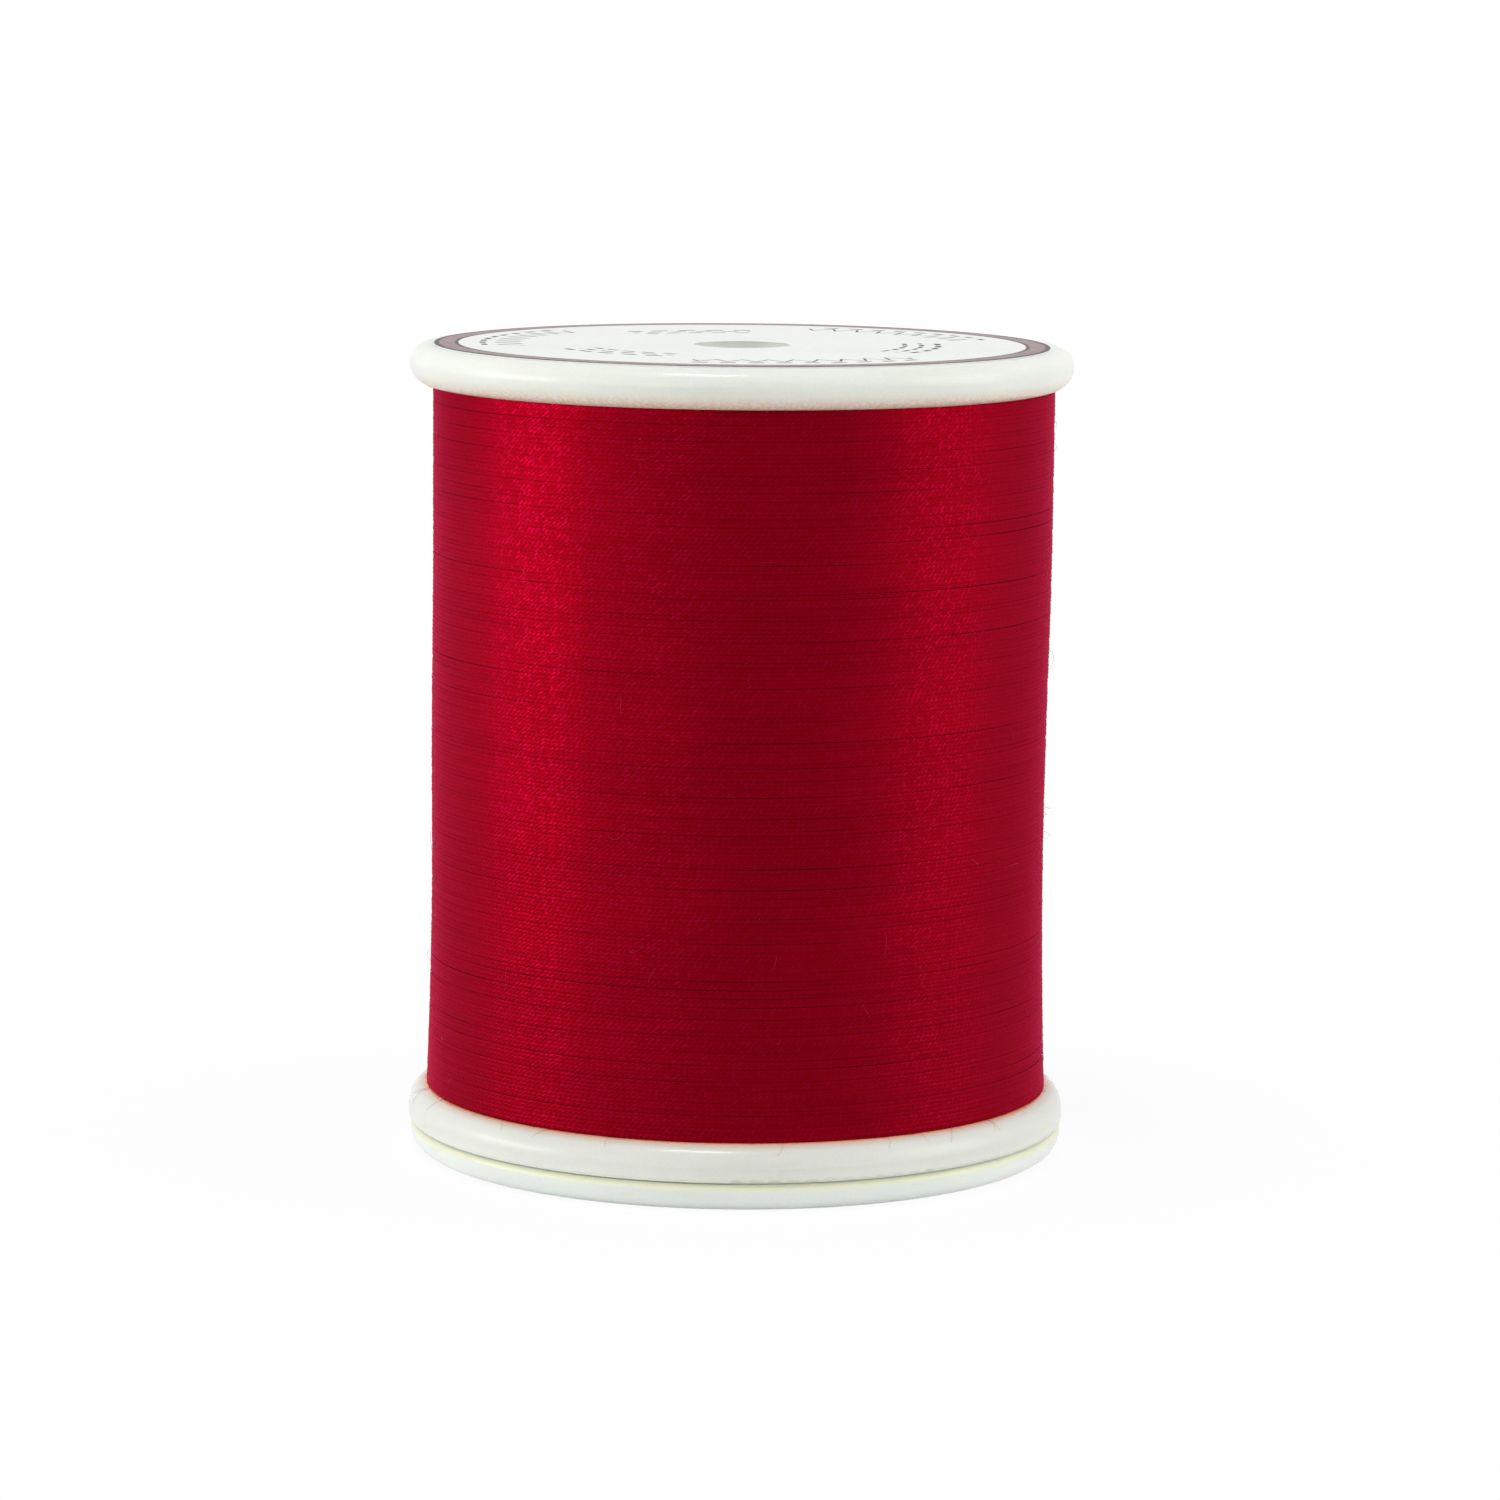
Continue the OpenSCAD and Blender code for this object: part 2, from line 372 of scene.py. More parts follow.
def new_material(name):
    """An empty material with its Principled shader: (material, tree, shader)."""
    material = bpy.data.materials.new(name)
    material.use_nodes = True
    tree = material.node_tree
    return material, tree, tree.nodes["Principled BSDF"]


def add(tree, kind, inputs=None, **options):
    """Adds a node. Inputs are values or other nodes' outputs, options are its settings."""
    node = tree.nodes.new(kind)
    for option, value in options.items():
        setattr(node, option, value)
    feed(tree, node, inputs or {})
    return node


def feed(tree, node, inputs):
    """Gives a node its inputs, which are values or other nodes' outputs."""
    for socket, value in inputs.items():
        if isinstance(value, bpy.types.NodeSocket):
            tree.links.new(value, node.inputs[socket])
        else:
            node.inputs[socket].default_value = value


def math_node(tree, operation, *values):
    """A Math node's output."""
    return add(tree, "ShaderNodeMath", dict(enumerate(values)), operation=operation).outputs[0]


def times(tree, first, second):
    """The product of two values."""
    return math_node(tree, "MULTIPLY", first, second)


def apart(tree, first, second):
    """How far two values lie from each other."""
    return math_node(tree, "ABSOLUTE", math_node(tree, "SUBTRACT", first, second))


def mix_color(tree, factor, first, second):
    """A colour Mix node's output."""
    return add(tree, "ShaderNodeMix", {0: factor, 6: first, 7: second},
               data_type="RGBA").outputs[2]


def ramp(tree, value, low, high, to_low=0.0, to_high=1.0, smooth=True):
    """Maps value from low..high to to_low..to_high, held at both ends."""
    return add(tree, "ShaderNodeMapRange", {
        "Value": value, "From Min": low, "From Max": high, "To Min": to_low, "To Max": to_high,
    }, interpolation_type="SMOOTHSTEP" if smooth else "LINEAR", clamp=True).outputs["Result"]


def band(tree, value, centre, half_width, soft):
    """1 where value lies within half_width of centre, with a soft edge."""
    return ramp(tree, apart(tree, value, centre), half_width - soft, half_width + soft, 1.0, 0.0)


def noise(tree, vector, scale, detail=2.0, roughness=0.5):
    """A noise pattern's value, from 0 to 1."""
    return add(tree, "ShaderNodeTexNoise", {
        "Vector": vector, "Scale": scale, "Detail": detail, "Roughness": roughness,
    }).outputs["Fac"]


def scaled(tree, vector, factors):
    """The coordinates times one factor for each axis."""
    return add(tree, "ShaderNodeVectorMath", {0: vector, 1: factors},
               operation="MULTIPLY").outputs[0]


def bump(tree, height, strength, depth):
    """The normal of a relief of this depth."""
    return add(tree, "ShaderNodeBump", {
        "Strength": strength, "Distance": depth, "Height": height}).outputs[0]


def object_place(tree):
    """Object coordinates."""
    return add(tree, "ShaderNodeTexCoord").outputs["Object"]


def rgba(color, gain=1.0):
    """A colour property as four numbers."""
    return (color[0] * gain, color[1] * gain, color[2] * gain, 1.0)


# ---------------------------------------------------------------- materials


def moulded_plastic(name, plastic, seed_shift, seam_glow_share, painted_foot_shade):
    """White injection-moulded plastic: cloudy, slightly translucent, with dust specks."""
    values = settings().moulding
    material, tree, shader = new_material(name)
    place = object_place(tree)
    shifted = add(tree, "ShaderNodeVectorMath",
                  {0: place, 1: (seed_shift, 0.3 * seed_shift, 0.0)}, operation="ADD").outputs[0]
    axes = add(tree, "ShaderNodeSeparateXYZ", {0: place}).outputs
    height = axes["Z"]
    level = add(tree, "ShaderNodeCombineXYZ", {0: axes["X"], 1: axes["Y"]}).outputs[0]
    radius = add(tree, "ShaderNodeVectorMath", {0: level}, operation="LENGTH").outputs["Value"]
    black = (0.0, 0.0, 0.0, 1.0)

    # Slow clouds where the melt flowed, and a finer grey mottle
    clouds = noise(tree, shifted, 90.0, 3.0, 0.55)
    mottle = noise(tree, shifted, 900.0, 4.0, 0.6)
    grain = noise(tree, shifted, 7000.0, 2.0, 0.7)
    color = mix_color(tree, ramp(tree, clouds, 0.35, 0.68), rgba(plastic), rgba(plastic, 0.965))

    def tint(mask, tone):
        """Lays a tone over the colour where the mask is 1."""
        nonlocal color
        color = mix_color(tree, mask, color, tone)

    tint(ramp(tree, mottle, 0.45, 0.75, 0.0, 0.3), (0.80, 0.80, 0.74, 1.0))
    tint(ramp(tree, grain, 0.35, 0.65, 0.0, 0.03), black)

    # Painted shade: the lower flange is darker, most of all close to the thread
    tint(math_node(tree, "MINIMUM", ramp(tree, height, SEAM_Z, WINDING_LOW, 0.0, painted_foot_shade),
                   ramp(tree, height, 8 * MM, 10 * MM, 1.0, 0.0)), black)

    # Painted warm glow of light through the plastic just below the seam
    seam_glow_mask = band(tree, height, SEAM_Z - 0.22 * MM, 0.14 * MM, 0.30 * MM)
    tint(times(tree, seam_glow_mask, seam_glow_share), rgba(values.seam_glow_color))
    # Painted glow of light through the plastic brightens the shaded bore
    tint(ramp(tree, radius, 3.5 * MM, 4.4 * MM, 1.0, 0.0), rgba(values.bore_glow_color))

    # Painted shade and red bounce light from the thread, with some dye rubbed off, in patches under
    # the upper flange and in a line over the lower one
    above = ramp(tree, height, WINDING_HIGH, WINDING_HIGH + 1.15 * MM, 0.85, 0.0)
    beside = math_node(tree, "MINIMUM",
                       ramp(tree, height, WINDING_HIGH - 0.5 * MM, WINDING_HIGH), above)
    patchy = ramp(tree, noise(tree, shifted, 3800.0, 3.0, 0.7), 0.36, 0.60, 0.35, 1.0)
    tint(times(tree, beside, patchy), rgba(values.rub_and_shade_color))
    outside = ramp(tree, radius, WAIST_R - 0.5 * MM, WAIST_R)
    off = apart(tree, height, WINDING_LOW)
    tint(times(tree, outside, ramp(tree, off, 0.05 * MM, 0.42 * MM, 0.42, 0.0)),
         rgba(values.rub_and_shade_color))
    # Painted orange glow of the thread's light on the shaded flat of the lower flange, right under
    # the winding
    fringe_glow = times(tree, outside, ramp(tree, height, WINDING_LOW - 0.13 * MM, WINDING_LOW))
    low_only = ramp(tree, height, WINDING_LOW + 0.5 * MM, WINDING_LOW + 1.0 * MM, 1.0, 0.0)
    tint(times(tree, fringe_glow, low_only), rgba(values.fringe_glow_color))

    # Dust: small sparse specks
    cells = add(tree, "ShaderNodeTexVoronoi", {
        "Vector": shifted, "Scale": 330.0, "Randomness": 1.0}, feature="F1").outputs
    speck = ramp(tree, cells["Distance"], 0.018, 0.05, 1.0, 0.0)
    chosen = ramp(tree, add(tree, "ShaderNodeSeparateColor",
                            {0: cells["Color"]}).outputs[0], 0.80, 0.84)
    tint(times(tree, times(tree, speck, chosen), 0.75), rgba(values.speck_color))

    # Gloss that varies with handling, over a faint moulded ripple
    handled = noise(tree, shifted, 260.0, 4.0, 0.6)
    ripple = noise(tree, scaled(tree, shifted, (1.0, 1.0, 1.6)), 260.0, 2.0, 0.5)
    feed(tree, shader, {
        "Base Color": color, "Normal": bump(tree, ripple, 0.12, 0.02 * MM),
        "Roughness": ramp(tree, handled, 0.3, 0.75, values.gloss_roughness - 0.05,
                          values.gloss_roughness + 0.07),
        "IOR": 1.49, "Specular IOR Level": 0.25, "Coat Weight": 0.28, "Coat Roughness": 0.13,
        "Subsurface Weight": 0.6, "Subsurface Scale": values.glow_depth,
        "Subsurface Radius": (1.0, 0.85, 0.60)})
    return material


def printed_paper():
    """Coated label paper with a printed band and generic stitch marks."""
    values = settings().label
    material, tree, shader = new_material("label_paper")
    place = object_place(tree)
    axes = add(tree, "ShaderNodeSeparateXYZ", {0: place})
    x, y = axes.outputs["X"], axes.outputs["Y"]
    radius = math_node(tree, "SQRT", math_node(tree, "ADD", times(tree, x, x), times(tree, y, y)))
    turn = math_node(tree, "DIVIDE", math_node(tree, "ARCTAN2", y, x), 2 * math.pi)
    wobble = times(tree, math_node(tree, "SUBTRACT", noise(tree, place, 1400.0, 3.0), 0.5),
                   0.05 * MM)
    print_r = math_node(tree, "ADD", radius, wobble)

    paper = mix_color(tree, ramp(tree, noise(tree, place, 1500.0, 5.0, 0.65), 0.3, 0.7),
                      rgba(values.paper_color), rgba(values.paper_color, 0.955))
    paper = mix_color(tree, ramp(tree, noise(tree, place, 110.0, 2.0), 0.45, 0.75, 0.0, 0.5),
                      paper, rgba(values.paper_color, 0.93))

    def laps(count, phase=0.0):
        """Runs up by 1 in each of count equal parts of the circle, and stays above 0."""
        return math_node(tree, "ADD", times(tree, turn, float(count)), phase + 10.0)

    def parts(count, share, edge, phase):
        """1 on evenly spaced parts that cover this share of the circle."""
        off = apart(tree, math_node(tree, "FRACT", laps(count, phase)), 0.5)
        return ramp(tree, off, share / 2 - edge, share / 2 + edge, 1.0, 0.0)

    def dashes(ring_r, half_width, count, share, phase=0.0):
        """Running stitches around the circle of radius ring_r."""
        return times(tree, parts(count, share, 0.10 * share, phase),
                     band(tree, print_r, ring_r * MM, half_width * MM, 0.03 * MM))

    def zigzag(ring_r, reach, half_width, count):
        """A zigzag stitch around the circle of radius ring_r."""
        wave = math_node(tree, "PINGPONG", laps(count), 0.5)
        centre = math_node(tree, "ADD", times(tree, wave, 4 * reach * MM), (ring_r - reach) * MM)
        return ramp(tree, apart(tree, print_r, centre), (half_width - 0.03) * MM,
                    (half_width + 0.05) * MM, 1.0, 0.0)

    # Three arcs of a zigzag with a row outside it, and three of brick-laid rows between them
    outer_arcs = parts(3, 0.46, 0.004, 0.12)
    inner_arcs = parts(3, 0.34, 0.004, 0.60)
    ink = times(tree, zigzag(15.5, 0.85, 0.17, 56), outer_arcs)
    for row, arcs in (
            (dashes(17.2, 0.20, 60, 0.55), outer_arcs),
            (dashes(13.0, 0.20, 42, 0.62), inner_arcs),
            (dashes(11.9, 0.16, 42, 0.62, 0.5), inner_arcs),
            (dashes(10.8, 0.16, 42, 0.62), inner_arcs)):
        ink = math_node(tree, "MAXIMUM", ink, times(tree, row, arcs))

    # The printed band, whose two edges are outlined; the paper's cut edge stays bare
    inner_edge = LABEL_R - values.band_width
    face_up = ramp(tree, axes.outputs["Z"], LABEL_BOX[1].z - 0.045 * MM,
                   LABEL_BOX[1].z - 0.035 * MM)
    edge_band = times(tree, ramp(tree, print_r, inner_edge - 0.03 * MM, inner_edge + 0.03 * MM),
                      face_up)
    patchy = ramp(tree, noise(tree, place, 2600.0, 3.0, 0.7), 0.25, 0.6, 0.84, 1.0)
    color = mix_color(tree, times(tree, ink, patchy), paper, rgba(values.ink_color))
    band_tone = mix_color(tree, ramp(tree, noise(tree, place, 700.0, 3.0), 0.3, 0.7),
                          rgba(values.band_color), rgba(values.band_color, 1.14))
    outline = math_node(tree, "MAXIMUM",
                        ramp(tree, print_r, LABEL_R - 0.34 * MM, LABEL_R - 0.28 * MM),
                        band(tree, print_r, inner_edge + 0.12 * MM, 0.12 * MM, 0.03 * MM))
    band_tone = mix_color(tree, outline, band_tone, rgba(values.band_color, 0.42))
    color = mix_color(tree, times(tree, edge_band, patchy), color, band_tone)

    printed = math_node(tree, "MAXIMUM", ink, edge_band)
    relief = math_node(tree, "ADD", noise(tree, place, 2600.0, 4.0, 0.7),
                       times(tree, noise(tree, place, 240.0, 2.0), 0.8))
    feed(tree, shader, {
        "Base Color": color, "Roughness": ramp(tree, printed, 0.0, 1.0, 0.78, 0.62),
        "Normal": bump(tree, relief, 0.5, 0.012 * MM), "Specular IOR Level": 0.08})
    return material


def sewing_thread(name, gain=1.0):
    """Dyed three-ply thread. The UV map runs once per ply crest along the thread."""
    values = settings().winding
    material, tree, shader = new_material(name)
    place = object_place(tree)
    twist_map = add(tree, "ShaderNodeUVMap", uv_map="twist").outputs[0]
    along_across = add(tree, "ShaderNodeSeparateXYZ", {0: twist_map})
    along, across = along_across.outputs["X"], along_across.outputs["Y"]

    def streaky(scales, detail, roughness=0.5):
        """Noise that is stretched by one scale for each axis."""
        return noise(tree, scaled(tree, place, scales), 1.0, detail, roughness)

    # Ply crests: rounded ridges with sharp grooves, slanted across the thread
    slant = math_node(tree, "ADD", along, across)
    ridge = math_node(tree, "ABSOLUTE", math_node(tree, "SINE", times(tree, slant, math.pi)))
    crest = math_node(tree, "POWER", ridge, 0.7)

    # Single filaments that follow the plies
    lay = add(tree, "ShaderNodeCombineXYZ", {
        0: times(tree, along, 0.6), 1: times(tree, across, 9.0)}).outputs[0]
    filaments = noise(tree, lay, 1.0, 2.0, 0.6)

    # Darker streaks along the turns are painted shade for turns that lie unevenly, and the dye
    # varies in patches
    # Painted shade in the grooves between the ply crests
    color = mix_color(tree, crest, rgba(values.shade_color, gain), rgba(values.thread_color, gain))
    shade, patch = rgba(values.shade_color, 0.85 * gain), rgba(values.patch_color, gain)
    for pattern, low, high, share, tone in (
            (streaky((90.0, 90.0, 3600.0), 3.0, 0.6), 0.38, 0.62, 0.26, shade),
            (streaky((60.0, 60.0, 1250.0), 3.0, 0.6), 0.42, 0.62, 0.38, shade),
            (streaky((140.0, 140.0, 210.0), 2.0), 0.40, 0.70, 0.45, patch)):
        color = mix_color(tree, ramp(tree, pattern, low, high, 0.0, share), color, tone)

    # Here and there a crest lies smooth: lower roughness, and a painted highlight in a brighter
    # glint colour
    lying = streaky((2300.0, 2300.0, 3500.0), 1.0)
    glint = times(tree, ramp(tree, lying, 0.46, 0.66), ramp(tree, crest, 0.6, 0.95))
    color = mix_color(tree, times(tree, glint, 0.30), color, rgba(values.glint_color, gain))
    relief = math_node(tree, "ADD", crest, times(tree, filaments, 0.35))
    tangent = add(tree, "ShaderNodeTangent", direction_type="UV_MAP", uv_map="twist")

    # Shiny dyed filaments reflect in their own colour
    feed(tree, shader, {
        "Base Color": color, "Normal": bump(tree, relief, 0.30, 0.020 * MM),
        "Roughness": times(tree, ramp(tree, filaments, 0.3, 0.7, 0.33, 0.46),
                           ramp(tree, glint, 0.0, 1.0, 1.0, 0.70)),
        "Tangent": tangent.outputs[0],
        "Metallic": 0.90, "Anisotropic": 0.7, "Specular Tint": (1.0, 0.28, 0.48, 1.0),
        "Specular IOR Level": 0.0, "Sheen Weight": 0.56, "Sheen Roughness": 0.5,
        "Sheen Tint": rgba(values.sheen_color)})
    return material


def loose_fibre():
    """A single dyed fibre, thin enough for light to pass into it."""
    values = settings().fibres
    material, tree, shader = new_material("loose_fibre")
    tone = ramp(tree, noise(tree, object_place(tree), 500.0, 2.0), 0.35, 0.65)
    feed(tree, shader, {
        "Base Color": mix_color(tree, tone, rgba(values.fibre_color),
                                rgba(values.fibre_color, 0.6)),
        "Roughness": 0.5, "Specular IOR Level": 0.3})
    return material


# ---------------------------------------------------------------- winding maths


def spread_turns(random, travel, steps, values):
    """Height offsets of the rings where neighbouring turns stand apart, at random places."""
    count = values.gap_lines
    places = random.uniform(2.0, travel[-1] - 3.0, count)
    lengths = 0.012 + 0.22 * random.random(count) ** 1.8
    openings = values.widest_gap * (0.15 + 0.85 * random.random(count) ** 2.4)
    offset = np.zeros_like(travel)
    for at, length, opening in zip(places, lengths, openings):
        for turn in range(-PUSHED_TURNS, PUSHED_TURNS + 2):
            middle = (at + turn) * steps
            low = max(int(middle - length * steps), 0)
            high = min(int(middle + length * steps) + 2, len(travel))
            if low < high:
                reach = bump_window((travel[low:high] - at - turn) / length)
                push = -0.5 * math.exp(turn / PUSH_FADE) if turn <= 0 \
                    else 0.5 * math.exp(-(turn - 1) / PUSH_FADE)
                offset[low:high] += push * opening * reach
    return offset


def profile_ring(name, sides, half_height, depth, radius):
    """A thread's section as a closed ring of edges in the XZ plane, at the given radius."""
    deselect_all()
    bpy.ops.mesh.primitive_circle_add(
        vertices=sides, radius=1.0, fill_type="NOTHING", location=(0, 0, 0),
        rotation=(math.radians(90), 0, 0))
    ring = bpy.context.object
    ring.name = ring.data.name = name
    apply_place(ring)
    bpy.ops.object.mode_set(mode="EDIT")
    bpy.ops.mesh.select_all(action="SELECT")
    bpy.ops.transform.rotate(value=math.radians(90), orient_axis="Y", center_override=(0, 0, 0))
    bpy.ops.transform.resize(value=(depth / 2, 1.0, half_height), center_override=(0, 0, 0))
    bpy.ops.transform.translate(value=(radius, 0, 0))
    bpy.ops.object.mode_set(mode="OBJECT")
    return ring


def close_ends(obj):
    """Puts a face over each end of the thread."""
    activate(obj)
    bpy.ops.object.mode_set(mode="EDIT")
    bpy.ops.mesh.select_mode(type="EDGE")
    bpy.ops.mesh.select_all(action="DESELECT")
    bpy.ops.mesh.select_non_manifold(extend=False)
    bpy.ops.mesh.edge_face_add()
    bpy.ops.object.mode_set(mode="OBJECT")


def face_outwards(obj):
    """Makes the whole closed mesh face outwards."""
    activate(obj)
    bpy.ops.object.mode_set(mode="EDIT")
    bpy.ops.mesh.select_all(action="SELECT")
    bpy.ops.mesh.normals_make_consistent(inside=False)
    bpy.ops.object.mode_set(mode="OBJECT")


def twist_uv(mesh, section, steps, along):
    """Adds the UV map that runs along the thread (in ply crests) and across it."""
    sides = len(section)
    across = np.arctan2(section[:, 1], section[:, 0]) / (2 * math.pi) % 1.0
    corner_vertex = np.empty(len(mesh.loops), dtype=np.int64)
    mesh.loops.foreach_get("vertex_index", corner_vertex)
    ring, side = np.divmod(corner_vertex, sides)
    starts = np.empty(len(mesh.polygons), dtype=np.int64)
    totals = np.empty(len(mesh.polygons), dtype=np.int64)
    mesh.polygons.foreach_get("loop_start", starts)
    mesh.polygons.foreach_get("loop_total", totals)
    face_of = np.repeat(np.arange(len(starts)), totals)
    first_ring = np.minimum.reduceat(ring, starts)[face_of]
    low_side = np.minimum.reduceat(side, starts)[face_of]
    high_side = np.maximum.reduceat(side, starts)[face_of]

    # Whole crests are left out turn by turn, which keeps the numbers small
    u = along[ring] - np.floor(along[first_ring // steps * steps])
    # The face that closes the section joins its last side to its first
    v = across[side] + ((low_side == 0) & (high_side == sides - 1) & (side == 0))
    layer = mesh.uv_layers.new(name="twist")
    layer.data.foreach_set("uv", np.column_stack([u, v]).astype(np.float32).ravel())


def wound_thread(name, sides, steps, pitch, reach, tilt=0.0, right_handed=True):
    """A thread screwed up from one flange to the other, its section reach * pitch to each side.

    Returns the object, its section, each ring's place along the thread in turns, the height
    of each ring's centre, and the number of turns.
    """
    depth = settings().winding.thread_depth
    half_side = pitch * reach
    turns = int((WINDING_HIGH - WINDING_LOW - 2 * half_side) / pitch) + 2
    # The widest corners of the section just meet the next turn
    widest = np.max(np.sin(2 * math.pi * np.arange(sides) / sides))
    thread = profile_ring(name, sides, half_side / widest, depth, WAIST_R)
    corners = points_of(thread.data)
    section = np.column_stack([corners[:, 0] - WAIST_R, corners[:, 2]])
    section[:, 0] -= math.tan(tilt) * section[:, 1]

    screw = thread.modifiers.new("winding", "SCREW")
    screw.axis = "Z"
    screw.angle = 2 * math.pi if right_handed else -2 * math.pi
    screw.screw_offset = pitch
    screw.iterations = turns
    screw.steps = screw.render_steps = steps
    screw.use_merge_vertices = False
    screw.use_normal_calculate = False
    apply_modifiers(thread)
    count = turns * steps + 1
    if len(thread.data.vertices) != count * sides:
        raise RuntimeError(f"{name} does not have the turns it should have")

    # The first and last turns lie level on the flanges, with a helix between them
    travel = np.arange(count) / steps
    low_z, high_z = WINDING_LOW + half_side, WINDING_HIGH - half_side
    centre_z = low_z + (high_z - low_z) * np.clip((travel - 1) / (turns - 2), 0, 1)
    return thread, section, travel, centre_z, turns


def settle(thread, section, angle, centre_z, crest_r):
    """Places every ring of a wound thread, closes its ends and turns its faces outwards."""
    depth = settings().winding.thread_depth
    section_r = (crest_r + lopsided(angle, centre_z))[:, None] - depth / 2 + section[None, :, 0]
    section_z = centre_z[:, None] + section[None, :, 1]
    points = np.stack([
        section_r * np.cos(angle)[:, None], section_r * np.sin(angle)[:, None], section_z], axis=2)
    set_points(thread.data, points.reshape(-1, 3))
    close_ends(thread)
    face_outwards(thread)


# ---------------------------------------------------------------- operators


class SPOOL_OT_mouldings(bpy.types.Operator):
    """Finish the spool moulding and the snap base, which keep their CAD meshes"""

    bl_idname = "spool.mouldings"
    bl_label = "Plastic Mouldings"

    def execute(self, context):
        values = settings().moulding
        for node, material in (
                ("spool_body", moulded_plastic("spool_plastic", values.body_color, 0.0, 0.4, 0.10)),
                ("snap_base", moulded_plastic("base_plastic", values.base_color, 0.37, 1.0, 0.0))):
            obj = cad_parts[node]
            if not obj.material_slots:
                obj.data.materials.append(material)
            for slot in obj.material_slots:
                slot.material = material
        return {"FINISHED"}


class SPOOL_OT_label(bpy.types.Operator):
    """Make the paper label: a thin disc, pressed down around its hole, with a printed face"""

    bl_idname = "spool.label"
    bl_label = "Paper Label"

    def execute(self, context):
        values = settings().label
        top = CAP_Z + values.paper_thickness
        deselect_all()
        bpy.ops.mesh.primitive_circle_add(vertices=LABEL_SIDES, radius=LABEL_R,
                                          fill_type="NOTHING", location=(0, 0, top))
        label = context.object
        label.name = label.data.name = "paper_label"
        apply_place(label)

        # Rings inwards from the cut edge to the hole, which dips under a thumb's pressure
        bpy.ops.object.mode_set(mode="EDIT")
        bpy.ops.mesh.select_mode(type="EDGE")
        bpy.ops.mesh.select_all(action="SELECT")
        ring_r = LABEL_R
        for next_r in LABEL_RINGS:
            bpy.ops.mesh.extrude_edges_move()
            share = next_r * MM / ring_r
            bpy.ops.transform.resize(value=(share, share, 1.0), center_override=(0, 0, top))
            ring_r = next_r * MM
        bpy.ops.object.mode_set(mode="OBJECT")
        if len(label.data.polygons) != LABEL_SIDES * len(LABEL_RINGS):
            raise RuntimeError("the label's rings did not extrude as expected")

        points = points_of(label.data)
        radius = np.hypot(points[:, 0], points[:, 1])
        angle = np.arctan2(points[:, 1], points[:, 0])
        dip = values.hole_dip * np.exp(-((radius - BORE_R) / (1.1 * MM)) ** 2)
        broad = 0.008 * MM * (1 + np.sin(3 * angle + 0.7) * np.sin(radius / (3.1 * MM)))
        fine = 0.004 * MM * (1 + np.sin(7 * angle + 2.0) * (radius / LABEL_R) ** 2)
        points[:, 2] -= dip + (broad + fine)
        set_points(label.data, points)

        activate(label)
        paper = label.modifiers.new("paper", "SOLIDIFY")
        paper.thickness = PAPER_SHEET
        paper.offset = -1.0
        edge = label.modifiers.new("cut edge", "BEVEL")
        edge.width = CUT_BEVEL
        edge.segments = 1
        edge.limit_method = "ANGLE"
        edge.angle_limit = math.radians(60)
        apply_modifiers(label)
        face_outwards(label)

        # The paper's underside lies flat on its glue
        normals = np.empty(len(label.data.vertices) * 3)
        label.data.vertices.foreach_get("normal", normals)
        points = points_of(label.data)
        points[normals.reshape(-1, 3)[:, 2] < -0.5, 2] = CAP_Z + GLUE
        set_points(label.data, points)
        smooth_shade(label, math.radians(40))
        finish_piece(label, printed_paper(), ["top_label"])
        return {"FINISHED"}


class SPOOL_OT_winding(bpy.types.Operator):
    """Wind the outer layer: one thread, turn beside turn, with its gaps and ply twist"""

    bl_idname = "spool.winding"
    bl_label = "Outer Winding"

    def execute(self, context):
        values = settings().winding
        random = np.random.default_rng(OUTER_SEED)
        thread, section, travel, centre_z, turns = wound_thread(
            "outer_winding", values.sides, values.steps, values.pitch, 0.495, values.turn_tilt)
        count, steps = len(travel), values.steps

        # Neighbouring turns stand apart here and there, and none lies quite level
        shift = spread_turns(random, travel, steps, values) \
            + smooth_noise(random, count, 4.0, 0.003 * MM) \
            + smooth_noise(random, count, 26.0, 0.010 * MM)
        room = np.clip(np.minimum(centre_z - WINDING_LOW, WINDING_HIGH - centre_z) / (1.3 * MM),
                       0, 1)
        centre_z = centre_z + shift * room

        # Some stretches lie deeper or prouder than their neighbours
        crest_r = surface_radius(centre_z) + smooth_noise(random, count, 3.0, 0.004 * MM) \
            + smooth_noise(random, count, 31.0, 0.005 * MM)
        for _ in range(LOOSE_STRETCHES):
            at = random.uniform(1, turns - 1) * steps
            length = steps * (0.03 + 0.30 * random.random() ** 2)
            low, high = max(int(at - length), 0), min(int(at + length) + 1, count)
            sink = random.uniform(0.3, 1.0) * (0.035 * MM if random.random() < 0.75
                                               else -0.022 * MM)
            crest_r[low:high] -= sink * bump_window((np.arange(low, high) - at) / length)
        # Both ends dive under their neighbours
        crest_r -= END_DIVE * (1 - np.clip(travel / END_TURNS, 0, 1)) ** 2
        crest_r -= END_DIVE * (1 - np.clip((turns - travel) / END_TURNS, 0, 1)) ** 2
        settle(thread, section, OUTER_START + 2 * math.pi * travel, centre_z, crest_r)

        drift = np.cumsum(smooth_noise(random, count, 9.0, 0.0016)) \
            + smooth_noise(random, count, 14.0, 0.07) + smooth_noise(random, count, 45.0, 0.22)
        twist_uv(thread.data, section, steps, travel * (values.crests + 0.045) + drift)
        smooth_shade(thread, math.radians(60))
        finish_piece(thread, sewing_thread("outer_thread"),
                     ["thread_outer_layer"])
        return {"FINISHED"}


